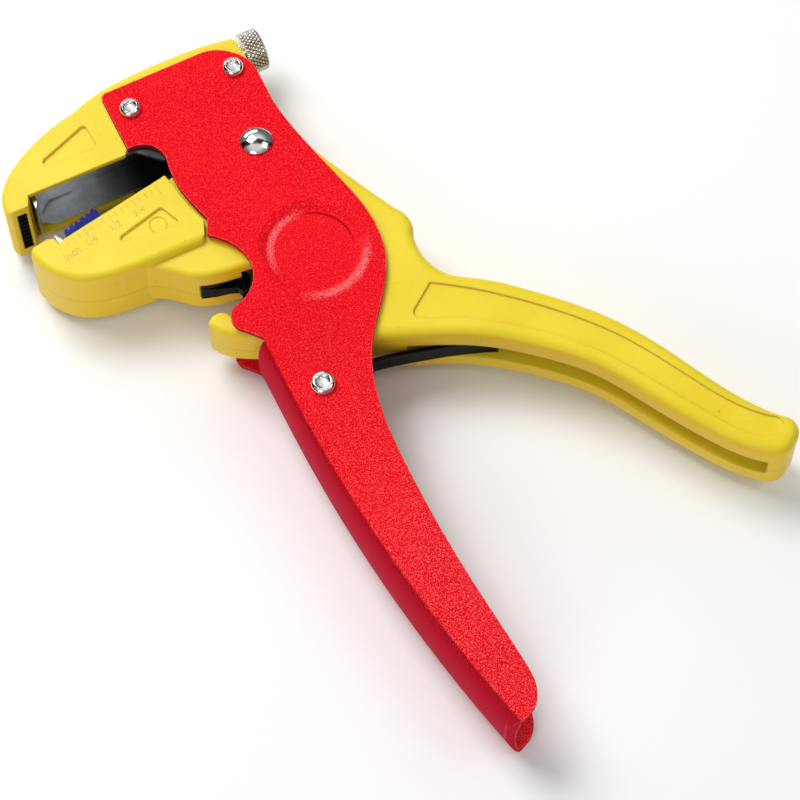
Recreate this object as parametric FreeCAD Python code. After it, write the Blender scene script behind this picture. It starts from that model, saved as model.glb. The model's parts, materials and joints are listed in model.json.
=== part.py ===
import FreeCAD, Part
import math
import os

# Duck-bill wire stripper, lying on its far cheek, at rest (jaws and handles open).
#
# The model is drawn about the lever's turning centre. X runs along the wire slot, with
# the mouth towards -X; Y runs up the head, away from the handles; Z runs through the
# thickness, with z = 0 on the mid plane. write_parts() moves everything to the final
# origin, under the middle of the whole tool. All sizes are in millimetres.

# ---- thickness, measured from the mid plane ----
CHEEK_OUTER = 10.0          # outer face of the pressed frame's cheeks
SHEET = 1.2                 # sheet thickness of the frame
CHEEK_INNER = CHEEK_OUTER - SHEET
LEVER_HALF = 8.4            # handle lever, between the cheeks
TIP_HALF = 6.2              # the lever's cutter tip
ARM_HALF = 3.6              # the lever's upper arm and its cam
BELLY_HALF = 7.8            # lower jaw where it slides under the cheeks
EAR_OUTER = 7.4             # lower jaw beside the carriage's plates
EAR_INNER = 5.3             # slot between the lower jaw's two ears
PLATE_OUTER = 8.5           # carriage side plates
PLATE_INNER = 7.7
BLADE_ARM_HALF = 2.6        # lower blade arm
STOP_HALF = 5.0             # length stop
HANDLE_SLOT_HALF = 2.8      # slot under the lever's handle
SPRING_HALF = 2.4           # leaf spring's half width
CUTTER_HALF = 2.9           # side cutter's blade where it leaves the belly
CUTTER_EDGE_HALF = 1.4      # the same blade near its edge
ANVIL_HALF = 3.2            # anvil let into the lever's tip
INSERT_HALF = 7.5           # toothed grip inserts

# ---- turning centres and travels ----
LEVER_PIVOT = (0.0, 0.0)
JAW_PIVOT = (0.1, 30.2)
SPRING_PIVOT = (-12.4, -31.4)
BLADE_ARM_PIVOT = (-6.0, 38.0)
DRIVE_PIN = (4.4, 44.2)
LEVER_TRAVEL = 25.0         # degrees, clockwise seen from +Z
JAW_TRAVEL = 9.3            # degrees, clockwise, geared to the lever
CARRIAGE_TRAVEL = 18.4      # along +X

# ---- rivets, pins and sleeves ----
FRONT_RIVET = (-22.1, 50.3)
REAR_RIVET = (3.4, 50.0)
SMALL_HEAD = 2.45
SPRING_HEAD = 2.8
DOME_HEAD = 3.7
HEAD_HEIGHT = 1.6
DOME_HEIGHT = 2.0
SMALL_SHANK = 1.5
LARGE_SHANK = 2.1
SLEEVE_RADIUS = 3.0
RUNNING_GAP = 0.06          # radial clearance of a turning fit
ARM_PIN_RADIUS = 1.5
DRIVE_PIN_RADIUS = 1.6
CAM_PIN = (-5.0, 15.7)
CAM_PIN_RADIUS = 1.75
CAM_GAP = 0.2

# ---- frame dish that the lever turns on ----
DISH_RIM = 12.3             # where the pressed slope meets the cheek
DISH_FLOOR = 9.3            # flat bottom of the pressing
DISH_DEPTH = 1.1            # outside
BOSS_DEPTH = 1.0            # inside, where it stands into the lever
BOSS_RADIUS = 11.0
HUB_RADIUS = 13.3           # lever's hub round the dish

# ---- jaws ----
UPPER_EDGE = 39.8           # slot edge of the upper jaw
NOSE_FACE = 37.2            # gripping face of the upper nose
SPINE_FLOOR = 48.6          # underside of the upper jaw between the cheeks
REBATE_FLOOR = 31.8         # lower jaw cut away above this, when closed, for the plates
CHANNEL_FLOOR = 29.8        # floor of the lower jaw's channel, when closed
BLADE_LINE = 37.2           # cutting edge of the upper blade

# ---- adjusting screw ----
KNOB_AXIS = 58.1            # height of the screw's axis
KNOB_FACE = 9.2             # knob's inner face
KNOB_LENGTH = 4.6
KNOB_RADIUS = 5.0
KNURLS = 30
SCREW_RADIUS = 1.1
SCREW_TIP = -9.5


# ---------------------------------------------------------------- drawing helpers

def spot(place, height=0.0):
    """A point in space from an (x, y) place."""
    return FreeCAD.Vector(place[0], place[1], height)


def turned(place, centre, degrees):
    """An (x, y) place turned anticlockwise about a centre."""
    angle = math.radians(degrees)
    x = place[0] - centre[0]
    y = place[1] - centre[1]
    return (centre[0] + x * math.cos(angle) - y * math.sin(angle),
            centre[1] + x * math.sin(angle) + y * math.cos(angle))


def outline(start, *moves):
    """A closed face. A move of one point is a line, of two an arc, of more a smooth curve."""
    edges = []
    here = spot(start)
    for move in moves:
        stops = [spot(place) for place in move]
        if len(stops) == 1:
            edges.append(Part.LineSegment(here, stops[0]).toShape())
        elif len(stops) == 2:
            edges.append(Part.Arc(here, stops[0], stops[1]).toShape())
        else:
            curve = Part.BSplineCurve()
            curve.interpolate([here] + stops)
            edges.append(curve.toShape())
        here = stops[-1]
    if here.distanceToPoint(spot(start)) > 1e-6:
        edges.append(Part.LineSegment(here, spot(start)).toShape())
    return Part.Face(Part.Wire(edges))


def beside(places, distance):
    """A run of points moved sideways, to the left of its own direction."""
    moved = []
    for index, (x, y) in enumerate(places):
        back = places[max(index - 1, 0)]
        ahead = places[min(index + 1, len(places) - 1)]
        length = math.dist(back, ahead)
        moved.append((x - distance * (ahead[1] - back[1]) / length,
                      y + distance * (ahead[0] - back[0]) / length))
    return moved


def layer(face, low, high):
    """A face given thickness from z = low to z = high."""
    solid = face.extrude(FreeCAD.Vector(0, 0, high - low))
    solid.translate(FreeCAD.Vector(0, 0, low))
    return solid


def slab(face, half):
    """A face thickened to both sides of the mid plane."""
    return layer(face, -half, half)


def mirrored(solid):
    """The same solid on the far side of the mid plane."""
    return solid.mirror(FreeCAD.Vector(0, 0, 0), FreeCAD.Vector(0, 0, 1))


def both_sides(solid):
    """A solid and its mirror image as one shape."""
    return Part.makeCompound([solid, mirrored(solid)])


def block(x_low, x_high, y_low, y_high, half):
    """A rectangular block across the mid plane."""
    return Part.makeBox(x_high - x_low, y_high - y_low, 2 * half,
                        FreeCAD.Vector(x_low, y_low, -half))


def round_bar(place, radius, half):
    """A cylinder across the mid plane."""
    return Part.makeCylinder(radius, 2 * half, spot(place, -half))


def flat_edges(height, wanted=lambda middle: True):
    """Picks the edges lying at z = +height or -height whose middle is wanted."""
    def chosen(edge):
        box = edge.BoundBox
        level = abs(abs(box.ZMin + box.ZMax) / 2 - height) < 0.01
        return level and box.ZLength < 0.01 and wanted(edge.CenterOfMass)
    return chosen


def rounded(solid, radius, chosen):
    """Rounds the edges that chosen accepts."""
    return solid.makeFillet(radius, [edge for edge in solid.Edges if chosen(edge)])


def one_solid(shape):
    """The single clean solid left by a boolean operation."""
    clean = shape.removeSplitter()
    return max(clean.Solids, key=lambda solid: solid.Volume)


def at_rest(solid):
    """A piece of the lower jaw drawn closed, turned back to its place with the jaw open."""
    opened = solid.copy()
    opened.rotate(spot(JAW_PIVOT), FreeCAD.Vector(0, 0, 1), JAW_TRAVEL)
    return opened


def arm_at_rest(solid):
    """A piece of the lower blade arm drawn level, turned to its place with the jaw open."""
    opened = solid.copy()
    opened.rotate(spot(BLADE_ARM_PIVOT), FreeCAD.Vector(0, 0, 1), JAW_TRAVEL)
    return opened


# ---------------------------------------------------------------- frame and rivets

BEND_LINE = -18.85          # front edge of the cheeks, where they run into the web
WEB_TOP = -16.05            # upper end of the web that joins the two cheeks
WEB_BOW = 2.3               # the web stands this far in front of the cheeks, on the mid plane
SWEEP_START = -31.0         # below this the handle's front is one long arc
SWEEP_RADIUS = 363.0
HANDLE_END = (-5.8, -117.6)
HANDLE_TIP = -118.6
HANDLE_BACK = [(9.5, 28.0), (13.0, 13.3), (15.05, 1.5), (13.35, -9.5), (8.55, -17.6),
               (1.9, -26.5), (-2.8, -38.7), (-4.6, -57.9), (-3.9, -85.8), (-2.1, -107.5),
               (-2.1, -111.6), (-2.65, -113.9), (-4.0, -116.2), HANDLE_END]


def bend_place(y):
    """Where the cheek's front edge lies at a height on the handle."""
    drop = min(y - SWEEP_START, 0.0)
    return (BEND_LINE + SWEEP_RADIUS - math.sqrt(SWEEP_RADIUS ** 2 - drop ** 2), y)


def frame_outline():
    """Side view of the frame: head, beak under the notch, and the long handle."""
    return outline(
        (-26.8, 55.0),
        [(-26.4, 56.3), (-25.2, 56.7)],
        [(-2.6, 57.0)],
        [(1.5, 56.4), (5.6, 53.5), (7.7, 50.1), (8.2, 47.0)],
        [(8.0, 38.6)],
        HANDLE_BACK,
        [bend_place(HANDLE_TIP)],
        [bend_place(-75.0), bend_place(SWEEP_START)],
        [bend_place(WEB_TOP)],
        [(-22.2, -12.1)],
        [(-23.75, -8.9), (-21.7, -5.8)],
        [(-18.3, -4.5), (-14.8, -0.6), (-14.1, 4.6), (-16.6, 10.1), (-19.3, 12.7)],
        [(-19.6, 13.3), (-19.4, 13.9)],
        [(-18.0, 17.0)],
        [(-19.6, 22.5), (-20.5, 28.5), (-20.1, 34.0)],
        [(-21.5, 39.4), (-26.8, 41.0)])


def web_section():
    """Cross-section of the web: a shallow bow whose two ends run into the cheeks."""
    corners = [spot((BEND_LINE, SWEEP_START), z) for z in
               (CHEEK_OUTER, -CHEEK_OUTER, -CHEEK_INNER, CHEEK_INNER)]
    run = FreeCAD.Vector(1.0, 0, 0)
    edges = []
    for depth, half in ((WEB_BOW, CHEEK_OUTER), (WEB_BOW - SHEET, CHEEK_INNER)):
        centre = spot((BEND_LINE, SWEEP_START))
        ellipse = Part.Ellipse(centre + FreeCAD.Vector(0, 0, half),
                               centre - FreeCAD.Vector(depth, 0, 0), centre)
        edges.append(Part.Arc(ellipse, 0, math.pi).toShape())
    for outer, inner in ((corners[0], corners[3]), (corners[1], corners[2])):
        edges.append(Part.LineSegment(outer, outer + run).toShape())
        edges.append(Part.LineSegment(outer + run, inner + run).toShape())
        edges.append(Part.LineSegment(inner + run, inner).toShape())
    return Part.Face(Part.Wire(Part.__sortEdges__(edges)))


def web():
    """The bowed front of the handle, trimmed to the handle's rounded end."""
    section = web_section()
    upper = section.extrude(FreeCAD.Vector(0, WEB_TOP - SWEEP_START, 0))
    lower = section.revolve(spot((BEND_LINE + SWEEP_RADIUS, SWEEP_START)),
                            FreeCAD.Vector(0, 0, 1), 14.6)
    kept = outline((-40.0, -20.0), [(-40.0, -116.2)], [(-10.7, -116.2)],
                   [(-9.6, -118.1), bend_place(HANDLE_TIP)], [HANDLE_END], [(5.0, -112.9)],
                   [(5.0, -20.0)])
    return upper.fuse(lower.common(slab(kept, 20.0)))


def dish_bosses():
    """The inner sides of the two pressed dishes, which stand into the lever's pockets."""
    top = CHEEK_INNER + 0.05
    low = CHEEK_INNER - BOSS_DEPTH
    return both_sides(Part.makeCylinder(BOSS_RADIUS, top - low, FreeCAD.Vector(0, 0, low)))


def dish_recesses():
    """The outer sides of the dishes: an S-shaped slope down to a flat floor."""
    low = CHEEK_OUTER - DISH_DEPTH
    slope = [(DISH_FLOOR, low), (DISH_FLOOR + 0.8, low + 0.1), (DISH_FLOOR + 1.5, low + 0.45),
             (DISH_FLOOR + 2.2, low + 0.86), (DISH_RIM, CHEEK_OUTER), (DISH_RIM + 0.5, CHEEK_OUTER + 0.1)]
    stops = [FreeCAD.Vector(radius, 0, z) for radius, z in slope]
    curve = Part.BSplineCurve()
    curve.interpolate(stops)
    above = CHEEK_OUTER + 0.1
    edges = [curve.toShape(),
             Part.LineSegment(stops[-1], FreeCAD.Vector(0, 0, above)).toShape(),
             Part.LineSegment(FreeCAD.Vector(0, 0, above), FreeCAD.Vector(0, 0, low)).toShape(),
             Part.LineSegment(FreeCAD.Vector(0, 0, low), stops[0]).toShape()]
    return both_sides(Part.Face(Part.Wire(edges)).revolve(FreeCAD.Vector(0, 0, 0),
                                                          FreeCAD.Vector(0, 0, 1), 360))


def red_frame():
    """The pressed steel U: two cheeks joined by a web down the front of the handle."""
    body = both_sides(layer(frame_outline(), CHEEK_INNER, CHEEK_OUTER))
    body = web().fuse(body.Solids).fuse(dish_bosses().Solids).cut(dish_recesses())
    for place, radius in ((FRONT_RIVET, SMALL_SHANK), (REAR_RIVET, SMALL_SHANK),
                          (JAW_PIVOT, LARGE_SHANK), (SPRING_PIVOT, LARGE_SHANK)):
        body = body.cut(round_bar(place, radius, CHEEK_OUTER))
    return one_solid(body)


def tubular_head(radius, shank):
    """Half profile of a clinched tubular rivet head: a rolled rim round a dimple."""
    low = CHEEK_OUTER
    top = CHEEK_OUTER + HEAD_HEIGHT
    corners = [(0.0, top - 1.0), (0.36 * radius, top - 0.95)]
    edges = [Part.LineSegment(FreeCAD.Vector(0, 0, low), FreeCAD.Vector(0, 0, top - 1.0))]
    edges.append(Part.LineSegment(FreeCAD.Vector(0, 0, corners[0][1]),
                                  FreeCAD.Vector(corners[1][0], 0, corners[1][1])))
    edges.append(Part.Arc(FreeCAD.Vector(corners[1][0], 0, corners[1][1]),
                          FreeCAD.Vector(0.5 * radius, 0, top - 0.25),
                          FreeCAD.Vector(0.68 * radius, 0, top)))
    edges.append(Part.Arc(FreeCAD.Vector(0.68 * radius, 0, top),
                          FreeCAD.Vector(0.93 * radius, 0, top - 0.45),
                          FreeCAD.Vector(radius, 0, low)))
    edges.append(Part.LineSegment(FreeCAD.Vector(radius, 0, low), FreeCAD.Vector(0, 0, low)))
    wire = Part.Wire([edge.toShape() for edge in edges])
    head = Part.Face(wire).revolve(FreeCAD.Vector(0, 0, 0), FreeCAD.Vector(0, 0, 1), 360)
    return head.fuse(Part.makeCylinder(shank, CHEEK_OUTER, FreeCAD.Vector(0, 0, 0)))


def domed_head(radius, shank):
    """Half of a polished rivet with a domed head."""
    low = CHEEK_OUTER
    top = CHEEK_OUTER + DOME_HEIGHT
    rise = DOME_HEIGHT - 0.5
    sphere = (radius ** 2 + rise ** 2) / (2 * rise)
    shoulder = 0.6 * radius
    edges = [Part.LineSegment(FreeCAD.Vector(0, 0, low), FreeCAD.Vector(0, 0, top)),
             Part.Arc(FreeCAD.Vector(0, 0, top),
                      FreeCAD.Vector(shoulder, 0, top - sphere + math.sqrt(
                          sphere ** 2 - shoulder ** 2)),
                      FreeCAD.Vector(radius, 0, low + 0.5)),
             Part.LineSegment(FreeCAD.Vector(radius, 0, low + 0.5),
                              FreeCAD.Vector(radius, 0, low)),
             Part.LineSegment(FreeCAD.Vector(radius, 0, low), FreeCAD.Vector(0, 0, low))]
    wire = Part.Wire([edge.toShape() for edge in edges])
    head = Part.Face(wire).revolve(FreeCAD.Vector(0, 0, 0), FreeCAD.Vector(0, 0, 1), 360)
    return head.fuse(Part.makeCylinder(shank, CHEEK_OUTER, FreeCAD.Vector(0, 0, 0)))


def rivet(place, half_rivet):
    """A rivet with the same head on both cheeks."""
    whole = one_solid(half_rivet.fuse(mirrored(half_rivet)))
    whole.translate(spot(place))
    return whole


def sleeve(place):
    """The steel tube on a rivet's shank that keeps the cheeks apart."""
    return round_bar(place, SLEEVE_RADIUS, CHEEK_INNER).cut(
        round_bar(place, LARGE_SHANK, CHEEK_INNER))


# ---------------------------------------------------------------- upper jaw

def upper_block_outline():
    """The thick front of the upper jaw, flush with the cheeks."""
    return outline(
        (-51.6, UPPER_EDGE),
        [(-52.6, NOSE_FACE)],
        [(-56.9, NOSE_FACE)],
        [(-57.8, 38.2)],
        [(-57.3, 41.6), (-54.2, 46.2), (-50.2, 49.4), (-44.6, 52.4), (-39.3, 54.4),
         (-34.9, 55.5), (-31.5, 55.8), (-27.8, 55.7)],
        [(-27.0, 54.8)],
        [(-27.0, 41.0)],
        [(-27.9, UPPER_EDGE)])


def spine_outline():
    """The upper jaw's back, which fills the top of the frame between the cheeks."""
    return outline(
        (-50.0, SPINE_FLOOR),
        [(-50.0, 49.3)],
        [(-44.5, 52.6), (-35.0, 56.4), (-29.0, 58.6), (-22.0, 59.9), (-11.0, 60.5),
         (-1.0, 60.3), (5.9, 59.45)],
        [(6.85, 58.6)],
        [(7.6, 53.0)],
        [(7.6, SPINE_FLOOR)])


def scoop(corner_places):
    """A shallow three-sided recess with rounded corners in both faces of a jaw."""
    face = outline(corner_places[0], *[[place] for place in corner_places[1:]])
    prism = layer(face, CHEEK_OUTER - 0.7, CHEEK_OUTER + 1.0)
    return both_sides(rounded(prism, 0.9, lambda edge: edge.BoundBox.ZLength > 0.5))


def insert_pocket_closed(x_low, x_high, y_low, y_high):
    """The pocket for a grip insert in a nose."""
    return block(x_low, x_high, y_low, y_high, INSERT_HALF)


def upper_jaw():
    """The fixed jaw: a moulding with a nose, a hollow for the carriage, and a spine."""
    front = slab(upper_block_outline(), CHEEK_OUTER)
    outside = flat_edges(CHEEK_OUTER, lambda middle: middle.y > 43.5 and middle.x < -28.0)
    front = rounded(front, 1.5, outside)
    spine = slab(spine_outline(), CHEEK_INNER)
    top = flat_edges(CHEEK_INNER, lambda middle: middle.y > 55.0 and middle.x < 0.0)
    spine = rounded(spine, 2.5, top)
    hollow = slab(outline((-51.4, 30.0), [(-51.4, 44.2)], [(-45.6, SPINE_FLOOR)],
                          [(20.0, SPINE_FLOOR)], [(20.0, 30.0)]), CHEEK_INNER)
    jaw = front.fuse(spine).cut(hollow)
    jaw = jaw.cut(scoop([(-33.0, 51.4), (-32.6, 44.7), (-48.8, 45.3)]))
    jaw = jaw.cut(block(-55.6, -53.4, 30.0, NOSE_FACE + 3.6, INSERT_HALF))
    for place in (FRONT_RIVET, REAR_RIVET):
        jaw = jaw.cut(round_bar(place, SMALL_SHANK, CHEEK_OUTER))
    screw_hole = Part.makeCylinder(SCREW_RADIUS + 0.1, 30.0,
                                   FreeCAD.Vector(SCREW_TIP - 1.0, KNOB_AXIS, 0),
                                   FreeCAD.Vector(1, 0, 0))
    jaw = jaw.cut(screw_hole)
    jaw = jaw.cut(block(-12.4, -4.0, SPINE_FLOOR - 1.0, KNOB_AXIS + 1.8, 2.8))
    return one_solid(jaw)


def grip_insert(x_low, x_high, face_y, depth, side):
    """A steel gripping bar with rows of teeth; side is -1 facing down, +1 facing up."""
    tooth = 0.3
    base = sorted((face_y - side * depth, face_y))
    bar = block(x_low, x_high, base[0], base[1], INSERT_HALF)
    rows = 9
    pitch = 2 * INSERT_HALF / rows
    half_width = 0.36 * pitch
    for row in range(rows):
        centre = -INSERT_HALF + (row + 0.5) * pitch
        ridge = Part.makePolygon([
            FreeCAD.Vector(x_low, face_y, centre - half_width),
            FreeCAD.Vector(x_low, face_y, centre + half_width),
            FreeCAD.Vector(x_low, face_y + side * tooth, centre),
            FreeCAD.Vector(x_low, face_y, centre - half_width)])
        bar = bar.fuse(Part.Face(ridge).extrude(FreeCAD.Vector(x_high - x_low, 0, 0)))
    return one_solid(bar)


def upper_grip_insert():
    return grip_insert(-55.6, -53.4, NOSE_FACE, 3.6, -1)


# ---------------------------------------------------------------- lower jaw

def lower_block_outline():
    """The thick front of the lower jaw, flush with the cheeks."""
    return outline(
        (-50.2, 25.5),
        [(-50.7, 27.2)],
        [(-52.3, 27.6)],
        [(-55.9, 26.9)],
        [(-56.8, 25.8)],
        [(-55.9, 22.7), (-53.9, 19.2), (-50.2, 15.8), (-45.1, 13.7), (-39.5, 12.9),
         (-30.0, 12.5), (-21.4, 12.5)],
        [(-20.2, 13.5)],
        [(-18.9, 17.0)],
        [(-20.5, 22.4), (-21.3, 27.5), (-21.4, 30.0)],
        [(-21.9, 30.9), (-23.0, 30.9)],
        [(-48.3, 26.15)],
        [(-49.6, 25.9)])


def belly_outline():
    """The lower jaw's thinner rear, from the belly up to the pivot ears."""
    ear = 5.5
    return outline(
        (-40.0, 12.9),
        [(-34.0, 12.2), (-29.5, 8.9), (-26.5, 6.3), (-22.5, 4.7), (-17.9, 3.9), (-13.3, 3.3)],
        [(-10.2, 9.15), (-2.4, 13.5)],
        [(0.5, 22.0)],
        [(JAW_PIVOT[0] + 0.82 * ear, JAW_PIVOT[1] - 0.573 * ear)],
        [(JAW_PIVOT[0] + ear, JAW_PIVOT[1]), (JAW_PIVOT[0], JAW_PIVOT[1] + ear)],
        [(-20.6, 31.2)],
        [(-30.0, 28.0)],
        [(-40.0, 20.0)])


def lower_jaw():
    """The moving jaw: a channelled block in front and two ears on the pivot behind."""
    front = slab(lower_block_outline(), CHEEK_OUTER)
    outside = flat_edges(CHEEK_OUTER, lambda middle: middle.y < 21.0 and middle.x < -21.0)
    front = rounded(front, 1.5, outside)
    rear = slab(belly_outline(), BELLY_HALF)
    rear = rounded(rear, 1.2, flat_edges(BELLY_HALF, lambda middle: middle.y < 9.0))
    jaw = front.fuse(rear)
    rebate = block(-51.2, -21.0, REBATE_FLOOR, 50.0, CHEEK_INNER)
    beside_ears = both_sides(Part.makeBox(40.0, 20.0, 3.0,
                                          FreeCAD.Vector(-21.6, REBATE_FLOOR, EAR_OUTER)))
    wide = block(-51.2, -30.0, CHANNEL_FLOOR, 50.0, 7.1)
    narrow = block(-30.5, -12.0, CHANNEL_FLOOR, 50.0, EAR_INNER)
    for cutter in (rebate, beside_ears, wide, narrow):
        jaw = jaw.cut(at_rest(cutter))
    jaw = jaw.cut(block(-16.0, 12.0, -5.0, 50.0, EAR_INNER))
    jaw = jaw.cut(round_bar(JAW_PIVOT, SLEEVE_RADIUS + RUNNING_GAP, CHEEK_OUTER))
    jaw = jaw.cut(round_bar(CAM_PIN, CAM_PIN_RADIUS, EAR_OUTER - 0.6))
    jaw = jaw.cut(cutter_pocket()).cut(cutter_pin())
    jaw = jaw.cut(scoop([(-26.1, 24.2), (-23.6, 18.2), (-41.5, 20.1)]))
    jaw = jaw.cut(block(-55.1, -52.9, 24.1, 35.0, INSERT_HALF))
    return one_solid(jaw)


def lower_grip_insert():
    return grip_insert(-55.1, -52.9, 27.3, 3.2, 1)


def cutter_pocket():
    """The pocket in the belly for the root of the cutter blade, open below."""
    return slab(outline((-25.3, 8.6), [(-25.3, 2.0)], [(-13.6, 1.0)], [(-15.6, 8.0)]), CUTTER_HALF)


def cutter_blade():
    """The black side cutter: a thick root in the belly and a narrower edge below it."""
    root = slab(outline((-25.3, 8.6), [(-25.3, 5.45)], [(-22.1, 4.4)], [(-17.8, 3.6)],
                        [(-14.15, 2.95)], [(-15.6, 8.0)]), CUTTER_HALF)
    edge = slab(outline((-25.3, 6.6), [(-25.2, 5.4)], [(-22.1, 4.1)], [(-17.5, 2.4)],
                        [(-17.1, 1.2)], [(-17.3, 0.7)], [(-15.8, 0.4)], [(-14.1, 3.0)],
                        [(-15.4, 6.0)]), CUTTER_EDGE_HALF)
    return one_solid(root.fuse(edge))


def cutter_pin():
    """Cross pin that holds the cutter blade, hidden in the belly."""
    return round_bar((-20.6, 6.9), 1.0, 6.4)


def cam_pin():
    """Pin across the lower jaw's ears that the lever's cam pushes to close the jaw."""
    return round_bar(CAM_PIN, CAM_PIN_RADIUS, EAR_OUTER - 0.6)


# ---------------------------------------------------------------- handle lever

LEVER_BACK = [(21.7, -10.0), (24.4, -17.3), (29.4, -21.0), (40.7, -30.6), (50.6, -41.3),
              (59.2, -54.8), (67.5, -71.2), (74.3, -80.4)]
LEVER_UNDER = [(61.7, -81.8), (57.8, -76.2), (50.6, -64.0), (43.5, -52.2), (34.8, -43.2),
               (23.0, -34.3), (9.6, -28.0), (-2.0, -22.4), (-9.0, -18.4)]


def lever_outline():
    """Side view of the lever: short arm, round hub, thumb rest and long handle."""
    hub = HUB_RADIUS
    return outline(
        (9.9, 31.6),
        [(11.5, 25.0), (14.2, 18.3), (18.9, 7.9), (21.6, 2.4)],
        [(23.2, -1.6), (22.1, -5.5)],
        LEVER_BACK,
        [(76.1, -84.0), (73.6, -87.2)],
        [(70.9, -88.6), (67.6, -87.7)],
        LEVER_UNDER,
        [(-10.6, -8.0)],
        [(-hub, 0.0), (-1.4, math.sqrt(hub ** 2 - 1.4 ** 2))],
        [(1.4, 21.6)],
        [(5.35, 26.6)],
        [(6.25, 30.2), (6.1, 31.6)])


def arm_outline():
    """The thinner upper arm, which reaches over the jaw pivot to the drive pin."""
    x, y = DRIVE_PIN
    return outline(
        (-3.0, 12.0),
        [(1.2, 21.0)],
        [(3.7, 26.6)],
        [(3.7, 33.4)],
        [(x - 3.0, y)],
        [(x, y + 3.0), (x + 3.0, y)],
        [(7.8, 34.0)],
        [(9.4, 30.0)],
        [(11.0, 15.0)])


def tip_outline():
    """The lever's front end, which carries the cutter under the lower jaw."""
    return outline(
        (-11.5, -3.0),
        [(-15.5, -5.7), (-19.2, -6.6), (-22.6, -5.6)],
        [(-25.2, -3.4), (-27.2, -4.2)],
        [(-28.0, -5.2), (-27.5, -6.6)],
        [(-25.7, -9.1), (-23.2, -10.9), (-18.6, -13.4), (-8.9, -18.3)],
        [(-2.0, -10.0)])


def cam_seat(share):
    """A point of the cam's face, in the lever's own frame, for a share of the travel."""
    pin = turned(CAM_PIN, JAW_PIVOT, -JAW_TRAVEL * share)
    pin = turned(pin, LEVER_PIVOT, LEVER_TRAVEL * share)
    reach = math.hypot(pin[0], pin[1])
    scale = (reach - CAM_PIN_RADIUS - CAM_GAP) / reach
    return (pin[0] * scale, pin[1] * scale)


def cam_outline():
    """The cam lobe on the hub, shaped so that it follows the jaw's pin."""
    return outline(cam_seat(-0.25), [cam_seat(0.4), cam_seat(1.12)], [(-9.0, 5.0)], [(0.0, 8.0)])


def handle_slot():
    """The slot under the handle, which takes the end of the leaf spring."""
    under = [(67.2, -87.6)] + LEVER_UNDER[:7]
    roof = beside(under, -8.0)
    below = beside(under, 6.0)
    return slab(outline(below[0], below[1:], [roof[-1]], roof[-2::-1]), HANDLE_SLOT_HALF)


def handle_panel():
    """The shallow panel sunk in each side of the handle."""
    depth = 0.5
    face = outline(
        (19.8, -18.4),
        [(25.0, -21.9), (39.0, -33.9), (51.9, -49.0), (60.8, -64.8), (68.2, -76.5), (71.6, -79.9)],
        [(73.2, -82.4), (71.6, -84.2)],
        [(67.6, -83.2), (61.3, -75.6), (54.2, -63.6), (46.6, -50.9), (37.7, -41.0),
         (25.6, -31.4), (14.2, -25.6)],
        [(13.2, -24.3), (13.7, -22.9)])
    return both_sides(layer(face, LEVER_HALF - depth, LEVER_HALF + 1.0))


def handle_lever():
    """The moving handle: hub on the frame's dishes, cutter tip, cam and drive arm."""
    body = slab(lever_outline(), LEVER_HALF)
    body = rounded(body, 2.2, flat_edges(LEVER_HALF, lambda middle: middle.x > 8.0))
    arm = slab(arm_outline(), ARM_HALF)
    cam = slab(cam_outline(), ARM_HALF)
    tip = slab(tip_outline(), TIP_HALF)
    tip = rounded(tip, 1.3, flat_edges(TIP_HALF, lambda middle: middle.x < -12.0))
    body = body.fuse(tip).fuse(arm).fuse(cam)
    pocket_floor = CHEEK_INNER - BOSS_DEPTH - 0.15
    pocket = Part.makeCylinder(BOSS_RADIUS + RUNNING_GAP, 3.0, FreeCAD.Vector(0, 0, pocket_floor))
    body = body.cut(both_sides(pocket))
    body = body.cut(handle_slot()).cut(handle_panel())
    body = body.cut(round_bar(DRIVE_PIN, DRIVE_PIN_RADIUS, ARM_HALF))
    body = body.cut(anvil_groove(0.0, 4.0)).cut(cutter_anvil())
    return one_solid(body)


def anvil_groove(low, high):
    """A band across the crest of the lever's tip, between two depths below the anvil's face."""
    face = outline((-28.4, -3.96 - low), [(-28.4, -3.96 + high)], [(-22.0, -4.47 + high)],
                   [(-22.0, -4.47 - low)])
    return slab(face, ANVIL_HALF)


def cutter_anvil():
    """The steel anvil let into the lever's tip, which the cutter blade closes on."""
    band = anvil_groove(1.1, 0.0).common(block(-26.7, -22.0, -8.0, 0.0, ANVIL_HALF))
    return one_solid(band.common(slab(tip_outline(), TIP_HALF)))


def drive_pin():
    """Pin through the lever's arm that draws the blade carriage back."""
    return round_bar(DRIVE_PIN, DRIVE_PIN_RADIUS, PLATE_OUTER)


# ---------------------------------------------------------------- return spring

SPRING_LINE = [(-11.4, -28.0), (-5.0, -27.2), (1.4, -27.6), (12.4, -30.0), (20.5, -32.3), (28.5, -35.3)]


def return_spring():
    """The black leaf spring: an eye on the lower sleeve and a leaf into the handle's slot."""
    thickness = 0.9
    upper = beside(SPRING_LINE, thickness / 2)
    lower = beside(SPRING_LINE, -thickness / 2)
    leaf = slab(outline(upper[0], upper[1:], [lower[-1]], lower[-2::-1]), SPRING_HALF)
    eye = round_bar(SPRING_PIVOT, SLEEVE_RADIUS + RUNNING_GAP + thickness, SPRING_HALF)
    spring = leaf.fuse(eye).cut(round_bar(SPRING_PIVOT, SLEEVE_RADIUS + RUNNING_GAP, SPRING_HALF))
    return one_solid(spring)


# ---------------------------------------------------------------- blade carriage

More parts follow.
